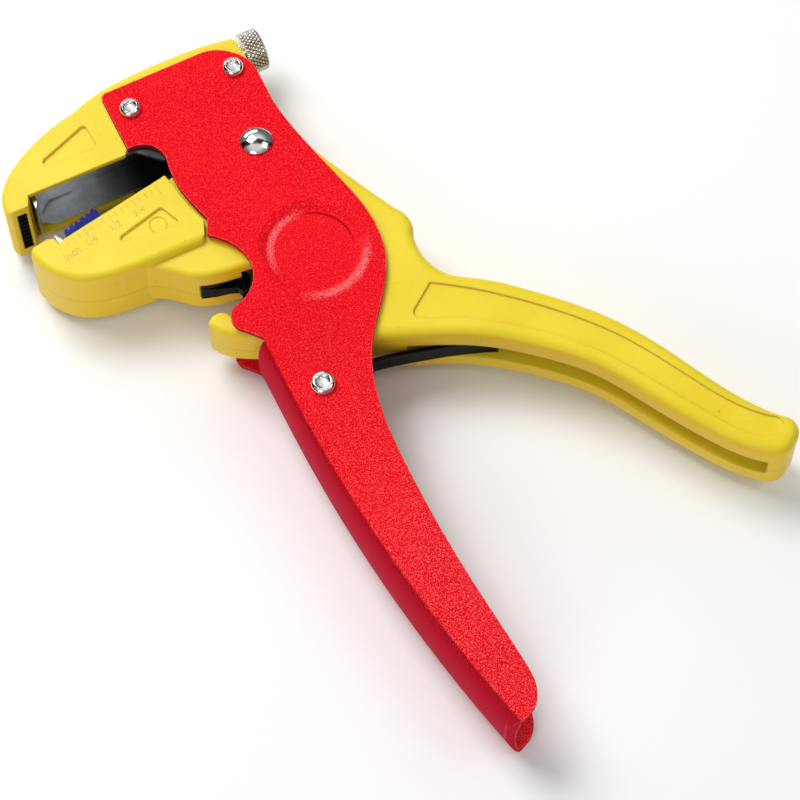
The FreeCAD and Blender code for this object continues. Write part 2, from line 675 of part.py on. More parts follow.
def carriage_side():
    """Side plate of the carriage, with the upright slot for the drive pin."""
    x, y = DRIVE_PIN
    edge = x + 2.05 + 1.3
    plate = layer(outline(
        (-51.1, 42.9),
        [(-49.3, 42.0)],
        [(-46.4, 40.6)],
        [(-25.5, 40.6)],
        [(-20.4, 35.6)],
        [(0.0, 35.6)],
        [(x - 3.35, 33.5)],
        [(edge, 33.5)],
        [(edge, 48.2)],
        [(-45.2, 48.2)],
        [(-51.1, 43.2)]), PLATE_INNER, PLATE_OUTER)
    half = DRIVE_PIN_RADIUS + 0.45
    low = 36.0
    high = y + 0.2
    slot = outline((x - half, low), [(x, low - half), (x + half, low)], [(x + half, high)],
                   [(x, high + half), (x - half, high)])
    return plate.cut(layer(slot, PLATE_INNER - 1, PLATE_OUTER + 1))


def blade_carriage():
    """The folded steel carriage that draws both blades back along the slot."""
    roof = block(-45.2, -1.0, 47.2, 48.2, PLATE_OUTER)
    side = carriage_side()
    carriage = roof.fuse(side).fuse(mirrored(side))
    return one_solid(carriage.cut(round_bar(BLADE_ARM_PIVOT, ARM_PIN_RADIUS, PLATE_OUTER)))


def upper_blade():
    """Cross blade held between the carriage's plates, with a bevelled lower edge."""
    profile = Part.makePolygon([FreeCAD.Vector(-51.0, BLADE_LINE, -PLATE_INNER),
                                FreeCAD.Vector(-51.0, 43.6, -PLATE_INNER),
                                FreeCAD.Vector(-50.0, 44.3, -PLATE_INNER),
                                FreeCAD.Vector(-50.0, BLADE_LINE + 1.8, -PLATE_INNER),
                                FreeCAD.Vector(-51.0, BLADE_LINE, -PLATE_INNER)])
    return Part.Face(profile).extrude(FreeCAD.Vector(0, 0, 2 * PLATE_INNER))


def upper_blade_holder():
    """Bent steel strap behind the upper blade, riveted under the carriage's roof."""
    return slab(outline((-50.0, 41.2), [(-50.0, 43.9)], [(-46.2, 47.2)], [(-40.0, 47.2)],
                        [(-40.0, 46.4)], [(-45.8, 46.4)], [(-49.2, 43.5)], [(-49.2, 41.2)]), 7.0)


def arm_pin():
    """Pin that joins the lower blade arm to the carriage."""
    return round_bar(BLADE_ARM_PIVOT, ARM_PIN_RADIUS, PLATE_OUTER)


def lower_blade_arm():
    """The arm that carries the lower blade and the length stop inside the lower jaw."""
    x, y = BLADE_ARM_PIVOT
    bar = slab(outline(
        (x - 43.9, y - 7.2),
        [(x - 17.5, y - 7.2)],
        [(x - 14.5, y - 3.8)],
        [(x - 2.0, y - 2.3)],
        [(x + 3.0, y), (x - 2.0, y + 2.3)],
        [(x - 16.5, y - 0.9)],
        [(x - 19.0, y - 4.2)],
        [(x - 43.9, y - 4.2)]), BLADE_ARM_HALF)
    bar = bar.cut(round_bar(BLADE_ARM_PIVOT, ARM_PIN_RADIUS + RUNNING_GAP, BLADE_ARM_HALF))
    return arm_at_rest(one_solid(bar))


def lower_blade():
    """Cross blade on the front end of the lower arm."""
    x, y = BLADE_ARM_PIVOT
    profile = Part.makePolygon([FreeCAD.Vector(x - 43.9, y - 7.2, -6.6),
                                FreeCAD.Vector(x - 44.7, y - 7.2, -6.6),
                                FreeCAD.Vector(x - 44.7, y - 1.1, -6.6),
                                FreeCAD.Vector(x - 43.9, y - 2.7, -6.6),
                                FreeCAD.Vector(x - 43.9, y - 7.2, -6.6)])
    return arm_at_rest(Part.Face(profile).extrude(FreeCAD.Vector(0, 0, 13.2)))


# ---------------------------------------------------------------- length stop

STOP_FRONT = -42.0          # measured along the arm from its pivot
STOP_BACK = -33.0
STOP_RIBS = 6


def length_stop():
    """The sliding stop: a saddle on the lower arm, with ribs over its top and sides."""
    x, y = BLADE_ARM_PIVOT
    pitch = (STOP_BACK - STOP_FRONT) / STOP_RIBS
    body = None
    for rib in range(STOP_RIBS):
        left = x + STOP_FRONT + rib * pitch
        top = y - 0.35 + 0.2 * rib
        core = block(left, left + pitch, y - 7.0, top - 0.4, STOP_HALF - 0.35)
        ridge = slab(outline((left, y - 7.0), [(left, top - 0.4)], [(left + 0.2 * pitch, top)],
                             [(left + 0.6 * pitch, top)], [(left + 0.6 * pitch, y - 7.0)]),
                     STOP_HALF)
        step = core.fuse(ridge)
        body = step if body is None else body.fuse(step)
    saddle = block(x + STOP_FRONT - 1.0, x + STOP_BACK + 1.0, y - 8.0, y - 4.1,
                   BLADE_ARM_HALF + 0.08)
    return arm_at_rest(one_solid(body.cut(saddle)))


# ---------------------------------------------------------------- adjusting screw

def along_x(radius, x_low, x_high):
    """A cylinder on the adjusting screw's axis."""
    return Part.makeCylinder(radius, x_high - x_low, FreeCAD.Vector(x_low, KNOB_AXIS, 0),
                             FreeCAD.Vector(1, 0, 0))


def adjusting_knob():
    """The round knob, grooved all round for grip."""
    knob = along_x(KNOB_RADIUS, KNOB_FACE, KNOB_FACE + KNOB_LENGTH)
    knob = knob.makeChamfer(0.35, knob.Edges)
    groove_depth = 0.3
    for index in range(KNURLS):
        angle = 2 * math.pi * index / KNURLS
        groove = Part.makeCylinder(
            groove_depth, KNOB_LENGTH,
            FreeCAD.Vector(KNOB_FACE, KNOB_AXIS + KNOB_RADIUS * math.cos(angle),
                           KNOB_RADIUS * math.sin(angle)), FreeCAD.Vector(1, 0, 0))
        knob = knob.cut(groove)
    return one_solid(knob.cut(along_x(SCREW_RADIUS, KNOB_FACE, KNOB_FACE + KNOB_LENGTH - 0.8)))


def adjusting_screw():
    """The screw's shank, fixed in the knob."""
    return along_x(SCREW_RADIUS, SCREW_TIP, KNOB_FACE + KNOB_LENGTH - 0.8)


def knob_washer():
    """Spring washer between the knob and the jaw."""
    return along_x(3.2, 7.7, 8.7).cut(along_x(SCREW_RADIUS + 0.1, 7.7, 8.7))


def depth_nut():
    """The square nut on the screw, whose foot limits how deep the blades close."""
    nut = block(-10.0, -6.4, SPINE_FLOOR + 0.2, KNOB_AXIS + 1.65, 2.5)
    return one_solid(nut.cut(along_x(SCREW_RADIUS + RUNNING_GAP, -11.0, -6.0)))


# ---------------------------------------------------------------- output

def all_parts():
    """Every sub-part by node name, about the lever's turning centre."""
    return {
        "red_frame": red_frame(),
        "upper_jaw": upper_jaw(),
        "upper_grip_insert": upper_grip_insert(),
        "front_jaw_rivet": rivet(FRONT_RIVET, tubular_head(SMALL_HEAD, SMALL_SHANK)),
        "rear_jaw_rivet": rivet(REAR_RIVET, tubular_head(SMALL_HEAD, SMALL_SHANK)),
        "jaw_pivot_rivet": rivet(JAW_PIVOT, domed_head(DOME_HEAD, LARGE_SHANK)),
        "spring_rivet": rivet(SPRING_PIVOT, tubular_head(SPRING_HEAD, LARGE_SHANK)),
        "jaw_pivot_sleeve": sleeve(JAW_PIVOT),
        "spring_sleeve": sleeve(SPRING_PIVOT),
        "knob_washer": knob_washer(),
        "lower_jaw": lower_jaw(),
        "lower_grip_insert": lower_grip_insert(),
        "cutter_blade": cutter_blade().cut(cutter_pin()),
        "cutter_pin": cutter_pin(),
        "cam_pin": cam_pin(),
        "handle_lever": handle_lever(),
        "cutter_anvil": cutter_anvil(),
        "drive_pin": drive_pin(),
        "return_spring": return_spring(),
        "blade_carriage": blade_carriage(),
        "upper_blade": upper_blade(),
        "upper_blade_holder": upper_blade_holder(),
        "arm_pin": arm_pin(),
        "lower_blade_arm": lower_blade_arm(),
        "lower_blade": lower_blade(),
        "length_stop": length_stop(),
        "adjusting_knob": adjusting_knob(),
        "adjusting_screw": adjusting_screw(),
        "depth_nut": depth_nut(),
    }


def write_parts():
    """Moves the tool over its final origin and writes one file for each sub-part."""
    os.makedirs("parts", exist_ok=True)
    parts = all_parts()
    whole = Part.makeCompound(list(parts.values())).optimalBoundingBox()
    shift = FreeCAD.Vector(-(whole.XMin + whole.XMax) / 2, -(whole.YMin + whole.YMax) / 2,
                           -whole.ZMin)
    print("origin shift", shift, "size", whole.XLength, whole.YLength, whole.ZLength)
    for name, shape in parts.items():
        shape.translate(shift)
        shape.exportStep("parts/%s.step" % name)
        print(name, len(shape.Solids), shape.isValid(), round(shape.Volume, 2))


write_parts()
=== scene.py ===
import json
import math

import bpy
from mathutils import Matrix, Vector


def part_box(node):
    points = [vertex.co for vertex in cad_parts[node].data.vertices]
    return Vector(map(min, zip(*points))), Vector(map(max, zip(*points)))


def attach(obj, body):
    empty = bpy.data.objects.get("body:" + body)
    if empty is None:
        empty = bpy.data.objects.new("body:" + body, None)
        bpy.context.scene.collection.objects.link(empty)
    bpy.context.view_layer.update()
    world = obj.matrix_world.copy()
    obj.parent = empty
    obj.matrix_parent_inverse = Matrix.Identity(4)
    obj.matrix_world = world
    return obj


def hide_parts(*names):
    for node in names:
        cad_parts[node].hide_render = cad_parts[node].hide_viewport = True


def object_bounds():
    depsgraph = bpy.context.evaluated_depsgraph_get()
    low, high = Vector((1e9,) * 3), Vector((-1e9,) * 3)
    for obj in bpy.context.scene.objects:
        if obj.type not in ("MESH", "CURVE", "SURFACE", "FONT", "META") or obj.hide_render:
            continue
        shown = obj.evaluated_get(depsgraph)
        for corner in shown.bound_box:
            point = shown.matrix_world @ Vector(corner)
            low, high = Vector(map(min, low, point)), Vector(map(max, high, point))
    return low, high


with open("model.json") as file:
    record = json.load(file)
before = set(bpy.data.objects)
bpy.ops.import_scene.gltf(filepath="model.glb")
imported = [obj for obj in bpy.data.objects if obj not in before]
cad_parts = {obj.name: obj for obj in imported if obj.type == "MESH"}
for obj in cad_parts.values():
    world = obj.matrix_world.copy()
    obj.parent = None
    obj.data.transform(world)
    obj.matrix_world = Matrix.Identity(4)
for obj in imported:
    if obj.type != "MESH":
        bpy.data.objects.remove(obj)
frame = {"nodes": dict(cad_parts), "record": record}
NODES = frame["nodes"]
CAD_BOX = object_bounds()

MM = 0.001
JAW_PIVOT_X = 0.1       # the jaw's pivot rivet from the lever's turning centre, in millimetres
JAW_PIVOT_Y = 30.2
PARTING_DEPTH = 1.2     # the mouldings' parting line, below the tool's middle plane
JAW_FACE = 10.0         # the lower jaw's near face, above the middle plane


def middle(node):
    """Centre of a CAD node's box, in metres."""
    low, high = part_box(node)
    return (low + high) / 2


# The lever's turning centre. Places on the tool are given in millimetres about it.
PIVOT = middle("jaw_pivot_rivet") - Vector((JAW_PIVOT_X * MM, JAW_PIVOT_Y * MM, 0.0))
PARTING_HEIGHT = PIVOT.z - PARTING_DEPTH * MM


def place(x, y, z=0.0):
    """A point in the shared frame, from millimetres about the lever's turning centre."""
    return PIVOT + Vector((x, y, z)) * MM


# ---------------------------------------------------------------- shader helpers

BEVEL_SAMPLES = 4
FLAT_COSINE = 0.985     # between the true and the rounded normal, on a flat and on an edge
EDGE_COSINE = 0.85


class Shader:
    """A node material with short calls for the textures used here."""

    def __init__(self, name):
        self.material = bpy.data.materials.new(name)
        self.material.use_nodes = True
        self.tree = self.material.node_tree
        self.nodes = self.tree.nodes
        self.nodes.clear()
        self.output = self.nodes.new("ShaderNodeOutputMaterial")
        self.surface = self.nodes.new("ShaderNodeBsdfPrincipled")
        self.link(self.surface.outputs["BSDF"], self.output.inputs["Surface"])
        self.coords = self.nodes.new("ShaderNodeTexCoord").outputs["Object"]

    def link(self, source, target):
        self.tree.links.new(source, target)

    def feed(self, socket, value):
        """Links a socket to a socket, or gives it a plain value."""
        if isinstance(value, bpy.types.NodeSocket):
            self.link(value, socket)
        else:
            socket.default_value = value

    def set(self, **values):
        """Sets the surface's own sockets; an underscore stands for a space."""
        for key, value in values.items():
            self.surface.inputs[key.replace("_", " ")].default_value = value

    def noise(self, scale, detail, roughness, stretch=None):
        """Noise with features of about 1 / scale metres, drawn out along an axis if wanted."""
        node = self.nodes.new("ShaderNodeTexNoise")
        node.inputs["Scale"].default_value = scale
        node.inputs["Detail"].default_value = detail
        node.inputs["Roughness"].default_value = roughness
        coords = self.coords
        if stretch is not None:
            mapping = self.nodes.new("ShaderNodeMapping")
            mapping.inputs["Scale"].default_value = stretch
            self.link(self.coords, mapping.inputs["Vector"])
            coords = mapping.outputs["Vector"]
        self.link(coords, node.inputs["Vector"])
        return node.outputs["Fac"]

    def ramp(self, source, low, high, low_value=0.0, high_value=1.0):
        """Maps a range of one value onto another, with a soft ease at both ends."""
        node = self.nodes.new("ShaderNodeMapRange")
        node.interpolation_type = "SMOOTHSTEP"
        node.inputs["From Min"].default_value = low
        node.inputs["From Max"].default_value = high
        node.inputs["To Min"].default_value = low_value
        node.inputs["To Max"].default_value = high_value
        self.link(source, node.inputs["Value"])
        return node.outputs["Result"]

    def maths(self, operation, first, second=0.0):
        """A sum on one or two values, each a number or a socket."""
        node = self.nodes.new("ShaderNodeMath")
        node.operation = operation
        for socket, value in zip(node.inputs, (first, second)):
            self.feed(socket, value)
        return node.outputs["Value"]

    def vector_maths(self, operation, first, second=(0.0, 0.0, 0.0)):
        """A sum on one or two vectors; returns the node's outputs."""
        node = self.nodes.new("ShaderNodeVectorMath")
        node.operation = operation
        for socket, value in zip(node.inputs, (first, second)):
            self.feed(socket, value)
        return node.outputs

    def split(self, vector):
        """The X, Y and Z outputs of a vector."""
        node = self.nodes.new("ShaderNodeSeparateXYZ")
        self.link(vector, node.inputs["Vector"])
        return node.outputs

    def blend(self, factor, first, second):
        """Mixes two colours, each a tuple or a socket."""
        node = self.nodes.new("ShaderNodeMix")
        node.data_type = "RGBA"
        self.link(factor, node.inputs["Factor"])
        for name, value in (("A", first), ("B", second)):
            socket = [s for s in node.inputs if s.name == name and s.type == "RGBA"][0]
            self.feed(socket, (*value, 1.0) if isinstance(value, tuple) else value)
        return [s for s in node.outputs if s.type == "RGBA"][0]

    def tint(self, colour, *layers):
        """Lays colours over a colour in turn, each where its mask is 1."""
        for mask, layer in layers:
            colour = self.blend(mask, colour, layer)
        return colour

    def bevelled(self, radius):
        """The normal with edges rounded to a radius."""
        bevel = self.nodes.new("ShaderNodeBevel")
        bevel.samples = BEVEL_SAMPLES
        bevel.inputs["Radius"].default_value = radius
        return bevel.outputs["Normal"]

    def true_normal(self):
        return self.nodes.new("ShaderNodeNewGeometry").outputs["Normal"]

    def edges(self, radius, strength=1.0):
        """Strength on sharp edges and 0 on flats, from the bevelled normal."""
        dot = self.vector_maths("DOT_PRODUCT", self.bevelled(radius), self.true_normal())
        mask = self.ramp(dot["Value"], FLAT_COSINE, EDGE_COSINE)
        return self.maths("MULTIPLY", mask, strength)

    def band(self, height, half_width):
        """1 in a thin level band round a height, 0 elsewhere."""
        above = self.maths("SUBTRACT", self.split(self.coords)["Z"], height)
        away = self.maths("ABSOLUTE", above)
        return self.ramp(away, 1.6 * half_width, 0.6 * half_width)

    def level(self):
        """1 on faces that lie level, 0 on walls that stand."""
        return self.maths("ABSOLUTE", self.split(self.true_normal())["Z"])

    def along(self, axis, low, high):
        """0 to 1 between two places along an axis of the shared frame, in metres."""
        return self.ramp(self.split(self.coords)[axis], low, high)

    def bump(self, height, distance, strength, below=None):
        """Stacks a bump layer on a normal, or on the plain surface where none is given."""
        node = self.nodes.new("ShaderNodeBump")
        node.inputs["Distance"].default_value = distance
        node.inputs["Strength"].default_value = strength
        self.link(height, node.inputs["Height"])
        if below is not None:
            self.link(below, node.inputs["Normal"])
        return node.outputs["Normal"]

    def finish(self, colour, roughness, normal):
        """Links the surface's colour, roughness and normal; returns the material."""
        self.link(colour, self.surface.inputs["Base Color"])
        self.link(roughness, self.surface.inputs["Roughness"])
        self.link(normal, self.surface.inputs["Normal"])
        return self.material


class DishShader(Shader):
    """A shader that knows where the frame's pressed dishes are."""

    def dish_band(self, radius, half_width, direction):
        """1 on a band round the dishes' middle, fading out away from a direction."""
        offset = self.vector_maths("SUBTRACT", self.coords, PIVOT)["Vector"]
        flat = self.vector_maths("MULTIPLY", offset, (1.0, 1.0, 0.0))["Vector"]
        distance = self.vector_maths("LENGTH", flat)["Value"]
        away = self.maths("ABSOLUTE", self.maths("SUBTRACT", distance, radius * MM))
        ring = self.ramp(away, half_width * MM, 0.15 * half_width * MM)
        towards = self.vector_maths("DOT_PRODUCT", flat, (*direction, 0.0))["Value"]
        side = self.ramp(towards, 0.45 * radius * MM, radius * MM)
        return self.maths("MULTIPLY", ring, side)


# ---------------------------------------------------------------- materials

# Painted highlights on the frame's dishes, as bands: radius and half width in millimetres, and
# the direction from the middle where each band is strongest; the painted shadow line below is
# given alike.
DISH_HIGHLIGHTS = ((11.8, 1.7, (0.34, -0.94)), (9.5, 1.2, (-0.71, 0.71)))
DISH_SHADOW_LINE = (9.25, 0.45, (0.81, 0.59))
SHEEN_FROM = -10.0       # between these, the red handle gets more and more painted pink sheen, along Y
SHEEN_TO = -90.0
SHADE_FRONT = (-42.0, -22.0)      # from plain to painted dark shade at each end of the slot, along X
SHADE_BACK = (4.0, -8.0)


def red_powder_coat():
    """Textured red powder coat: dark specks, pale specks that are partly painted glints, and
    painted highlights, shadow, shade and sheen.
    """
    s = DishShader("red_powder_coat")
    specks = s.noise(3400.0, 2.0, 0.6)
    sparse = s.noise(1500.0, 2.0, 0.6)
    patch = s.noise(45.0, 2.0, 0.5)
    level = s.level()
    # painted pink sheen on the pale specks, growing towards the handle's end along Y
    sheen_along_handle = s.along("Y", PIVOT.y + SHEEN_FROM * MM, PIVOT.y + SHEEN_TO * MM)
    painted_sheen = s.maths("MULTIPLY", sheen_along_handle, s.ramp(specks, 0.46, 0.70, 0.0, 0.42))
    # painted highlight along the edges, broken up by the specks
    edge_highlight = s.maths("MULTIPLY", s.edges(0.45 * MM), s.ramp(specks, 0.44, 0.58, 0.15, 0.8))
    rub_and_glint = s.ramp(specks, 0.42, 0.62, 0.04, 0.62)
    colour = s.blend(s.ramp(patch, 0.35, 0.7), (0.74, 0.003, 0.010), (0.80, 0.004, 0.012))
    colour = s.tint(
        colour,
        # pale specks: partly the coat's own grain, partly painted glints
        (s.ramp(specks, 0.50, 0.68, 0.0, 0.75), (1.0, 0.055, 0.06)),
        (s.ramp(specks, 0.46, 0.32, 0.0, 0.6), (0.52, 0.001, 0.008)),
        (s.ramp(sparse, 0.62, 0.74, 0.0, 0.5), (1.0, 0.16, 0.15)),
        (painted_sheen, (1.0, 0.24, 0.25)),
        # painted shade: a darker, deeper red on sloping and standing faces
        (s.ramp(level, 0.92, 0.55, 0.0, 0.75), (0.24, 0.0, 0.004)),
        (s.ramp(level, 0.55, 0.15, 0.0, 0.9), (0.56, 0.001, 0.026)),
        (edge_highlight, (0.98, 0.30, 0.30)))
    # painted highlight crescents on the dish rims, broken up by the grain
    for band in DISH_HIGHLIGHTS:
        colour = s.blend(s.maths("MULTIPLY", rub_and_glint, s.dish_band(*band)), colour, (1.0, 0.38, 0.38))
    # painted shadow line along the dish's inner edge
    dish_shadow = s.maths("MULTIPLY", s.dish_band(*DISH_SHADOW_LINE), 0.75)
    colour = s.blend(dish_shadow, colour, (0.20, 0.0, 0.003))
    normal = s.bump(sparse, 0.06 * MM, 0.4, s.bevelled(0.25 * MM))
    normal = s.bump(specks, 0.05 * MM, 0.7, normal)
    s.set(Specular_IOR_Level=0.012)
    return s.finish(colour, s.ramp(specks, 0.3, 0.7, 0.40, 0.54), normal)


def yellow_plastic():
    """Moulded yellow plastic: parting line, flow marks, small stains, painted highlights on the
    edges and painted deeper orange shade on standing faces.
    """
    s = Shader("yellow_plastic")
    flow = s.noise(60.0, 3.0, 0.55)
    fine = s.noise(1500.0, 2.0, 0.5)
    dirt = s.noise(420.0, 4.0, 0.7)
    pits = s.noise(900.0, 1.0, 0.5)
    parting = s.band(PARTING_HEIGHT, 0.09 * MM)
    face = s.blend(s.ramp(flow, 0.3, 0.7), (0.79, 0.61, 0.024), (0.83, 0.66, 0.034))
    # painted shade: standing faces a deeper orange than level ones
    colour = s.blend(s.ramp(s.level(), 0.3, 0.9), (0.90, 0.62, 0.026), face)
    colour = s.tint(
        colour,
        (s.ramp(dirt, 0.60, 0.76, 0.0, 0.4), (0.66, 0.38, 0.015)),
        (s.ramp(pits, 0.77, 0.83, 0.0, 0.5), (0.30, 0.17, 0.01)),
        # painted highlight along the edges
        (s.edges(0.35 * MM, 0.5), (1.0, 0.86, 0.22)),
        (s.maths("MULTIPLY", parting, 0.45), (0.50, 0.30, 0.01)))
    normal = s.bump(parting, -0.1 * MM, 0.8, s.bevelled(0.6 * MM))
    normal = s.bump(fine, 0.012 * MM, 0.6, normal)
    normal = s.bump(flow, 0.15 * MM, 0.25, normal)
    s.set(Specular_IOR_Level=0.22)
    return s.finish(colour, s.ramp(fine, 0.3, 0.7, 0.30, 0.40), normal)


def scale_yellow():
    """The jaw's yellow a little darker, for the small raised marks."""
    s = Shader("scale_yellow")
    grain = s.noise(1500.0, 2.0, 0.5)
    colour = s.blend(s.ramp(grain, 0.35, 0.65), (0.66, 0.40, 0.01), (0.78, 0.50, 0.015))
    normal = s.bump(grain, 0.01 * MM, 0.5)
    return s.finish(colour, s.ramp(grain, 0.3, 0.7, 0.35, 0.45), normal)


def plated_steel():
    """Bright nickel plate with faint handling marks."""
    s = Shader("plated_steel")
    haze = s.noise(300.0, 3.0, 0.6)
    scratches = s.noise(900.0, 2.0, 0.5, (1.0, 0.06, 1.0))
    colour = s.blend(s.ramp(haze, 0.4, 0.7), (0.86, 0.85, 0.82), (0.76, 0.74, 0.70))
    normal = s.bump(scratches, 0.006 * MM, 0.5, s.bevelled(0.15 * MM))
    s.set(Metallic=1.0)
    return s.finish(colour, s.ramp(haze, 0.3, 0.7, 0.08, 0.18), normal)


def knurled_steel():
    """Nickel plate whose knurl has painted shade at the bottom of its grooves."""
    s = Shader("knurled_steel")
    groove = s.nodes.new("ShaderNodeAttribute")
    groove.attribute_name = "groove"
    haze = s.noise(700.0, 3.0, 0.6)
    colour = s.blend(s.ramp(haze, 0.4, 0.7), (0.84, 0.80, 0.72), (0.66, 0.62, 0.54))
    # painted shade at the bottom of the knurl's grooves
    colour = s.blend(s.ramp(groove.outputs["Fac"], 0.45, 0.95), colour, (0.02, 0.02, 0.02))
    s.set(Metallic=0.9)
    return s.finish(colour, s.ramp(haze, 0.3, 0.7, 0.16, 0.30), s.bevelled(0.05 * MM))


def sheet_steel(name, slot_shade=False):
    """Ground sheet steel with fine lines, darker patches and painted edge highlights, and
    painted dark shade along the slot if wanted.
    """
    s = Shader(name)
    lines = s.noise(2200.0, 2.0, 0.6, (0.04, 1.0, 1.0))
    smudge = s.noise(110.0, 4.0, 0.65)
    colour = s.blend(s.ramp(smudge, 0.38, 0.66), (0.88, 0.93, 0.98), (0.60, 0.65, 0.70))
    # painted highlight along the edges
    colour = s.blend(s.edges(0.2 * MM, 0.8), colour, (0.9, 0.9, 0.9))
    if slot_shade:
        begins, ends = (s.along("X", PIVOT.x + first * MM, PIVOT.x + last * MM)
                        for first, last in (SHADE_FRONT, SHADE_BACK))
        # painted shade: near black over the middle stretch of the slot
        painted_shade = s.maths("MULTIPLY", s.maths("MULTIPLY", begins, ends), 0.98)
        colour = s.blend(painted_shade, colour, (0.018, 0.018, 0.021))
    normal = s.bump(lines, 0.01 * MM, 0.5, s.bevelled(0.15 * MM))
    s.set(Metallic=0.72, Specular_IOR_Level=0.2)
    return s.finish(colour, s.ramp(smudge, 0.3, 0.7, 0.34, 0.46), normal)


def black_steel():
    """Blackened steel with brighter rubbed edges."""
    s = Shader("black_steel")
    grain = s.noise(1800.0, 3.0, 0.6)
    rub_and_glint = s.noise(200.0, 3.0, 0.6)
    colour = s.blend(s.ramp(rub_and_glint, 0.45, 0.75), (0.001, 0.001, 0.001), (0.004, 0.004, 0.005))
    colour = s.blend(s.edges(0.15 * MM, 0.25), colour, (0.12, 0.12, 0.11))
    normal = s.bump(grain, 0.02 * MM, 0.5, s.bevelled(0.12 * MM))
    s.set(Specular_IOR_Level=0.06)
    return s.finish(colour, s.ramp(grain, 0.3, 0.7, 0.16, 0.28), normal)


def blade_steel():
    """Bright ground blade steel."""
    s = Shader("blade_steel")
    lines = s.noise(2600.0, 2.0, 0.6, (1.0, 0.05, 1.0))
    haze = s.noise(150.0, 3.0, 0.6)
    colour = s.blend(s.ramp(haze, 0.4, 0.7), (0.66, 0.66, 0.68), (0.45, 0.45, 0.47))
    normal = s.bump(lines, 0.008 * MM, 0.5, s.bevelled(0.12 * MM))
    s.set(Metallic=1.0)
    return s.finish(colour, s.ramp(haze, 0.3, 0.7, 0.16, 0.30), normal)


def blue_plastic():
    """Deep blue moulding with a soft gloss and paler edges."""
    s = Shader("blue_plastic")
    flow = s.noise(400.0, 3.0, 0.6)
    colour = s.blend(s.ramp(flow, 0.35, 0.7), (0.001, 0.004, 0.17), (0.003, 0.012, 0.30))
    colour = s.blend(s.edges(0.2 * MM, 0.3), colour, (0.05, 0.10, 0.65))
    normal = s.bump(flow, 0.03 * MM, 0.3, s.bevelled(0.2 * MM))
    s.set(Specular_IOR_Level=0.1)
    return s.finish(colour, s.ramp(flow, 0.3, 0.7, 0.20, 0.32), normal)


MATERIALS = {
    "red_powder_coat": red_powder_coat(),
    "yellow_plastic": yellow_plastic(),
    "plated_steel": plated_steel(),
    "sheet_steel": sheet_steel("sheet_steel"),
    "black_steel": black_steel(),
    "blade_steel": blade_steel(),
    "blue_plastic": blue_plastic(),
}
KNURLED_STEEL = knurled_steel()
SCALE_YELLOW = scale_yellow()
# sheet steel with painted dark shade along the slot, for the carriage pieces
SHADED_STEEL = sheet_steel("slot_shaded_steel", slot_shade=True)
SHADED_NODES = ("blade_carriage", "upper_blade_holder", "lower_blade_arm", "arm_pin")


def dress_nodes():
    """Gives every CAD node the material of its slot in the record, or the sheet steel with
    painted shade.
    """
    for part in frame["record"]["subparts"]:
        node = NODES[part["node"]]
        material = MATERIALS[part["material_slot"]]
        if part["node"] in SHADED_NODES:
            material = SHADED_STEEL
        node.data.materials.clear()
        node.data.materials.append(material)


# ---------------------------------------------------------------- added pieces

def show(thing):
    """Puts an object into the scene."""
    bpy.context.scene.collection.objects.link(thing)
    return thing


def new_piece(name, points, faces, material):
    """A mesh piece from points in metres in the shared frame."""
    mesh = bpy.data.meshes.new(name)
    mesh.from_pydata([tuple(point) for point in points], [], faces)
    mesh.materials.append(material)
    return show(bpy.data.objects.new(name, mesh))


# The adjusting knob, in millimetres: its axis is level, KNOB_AXIS up the head.
KNOB_AXIS = 58.1
KNOB_FACE = 9.2         # its inner and outer ends, along X
KNOB_END = 13.8
KNOB_RADIUS = 5.0
KNOB_CHAMFER = 0.35
KNOB_BORE = 1.1
KNOB_HOLLOW = ((0.0, 1.6), (0.5, 1.3))      # depth and radius of the hollow in the outer end
KNURL_TEETH = 30
KNURL_DEPTH = 0.24
KNURL_SLANT = 0.8
KNURL_SHARPNESS = 3.2
KNURL_POINTS = 10       # mesh points round the rim for each tooth
KNURL_STEPS = 44        # and along it


def knurl(angle, x):
    """Depth from 0 to 1 of the crossed grooves at a point of the knob's rim."""
    turn = KNURL_TEETH * angle / (2 * math.pi)
    along = KNURL_TEETH * x / (2 * math.pi * KNOB_RADIUS) * KNURL_SLANT
    depth = 0.0
    for phase in (turn + along, turn - along):
        depth = max(depth, 1.0 - KNURL_SHARPNESS * abs(phase - math.floor(phase) - 0.5))
    return depth


def knob_rings():
    """Place along the axis and radius of each ring of points, None where it is knurled."""
    shoulder = KNOB_RADIUS - KNOB_CHAMFER
    start = KNOB_FACE + KNOB_CHAMFER
    end = KNOB_END - KNOB_CHAMFER
    rings = [(KNOB_FACE, KNOB_BORE), (KNOB_FACE, shoulder)]
    for step in range(KNURL_STEPS + 1):
        rings.append((start + (end - start) * step / KNURL_STEPS, None))
    rings.append((KNOB_END, shoulder))
    rings += [(KNOB_END - depth, radius) for depth, radius in KNOB_HOLLOW]
    return rings


def knurled_knob():
    """The adjusting knob with crossed knurling, standing for the plainer CAD knob."""
    around = KNURL_TEETH * KNURL_POINTS
    rings = knob_rings()
    points = []
    grooves = []
    for x, radius in rings:
        for index in range(around):
            angle = 2 * math.pi * index / around
            depth = knurl(angle, x) if radius is None else 0.0
            reach = KNOB_RADIUS - KNURL_DEPTH * depth if radius is None else radius
            points.append(place(x, KNOB_AXIS + reach * math.cos(angle), reach * math.sin(angle)))
            grooves.append(depth)
    faces = []
    for ring in range(len(rings) - 1):
        low = ring * around
        for index in range(around):
            ahead = (index + 1) % around
            faces.append((low + index, low + ahead, low + around + ahead, low + around + index))
    last = (len(rings) - 1) * around
    faces.append(tuple(last + index for index in range(around)))
    faces.append(tuple(reversed(range(around))))
    knob = new_piece("knurled_knob", points, faces, KNURLED_STEEL)
    layer = knob.data.attributes.new("groove", "FLOAT", "POINT")
    layer.data.foreach_set("value", grooves)
    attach(knob, "knob")
    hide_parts("adjusting_knob")


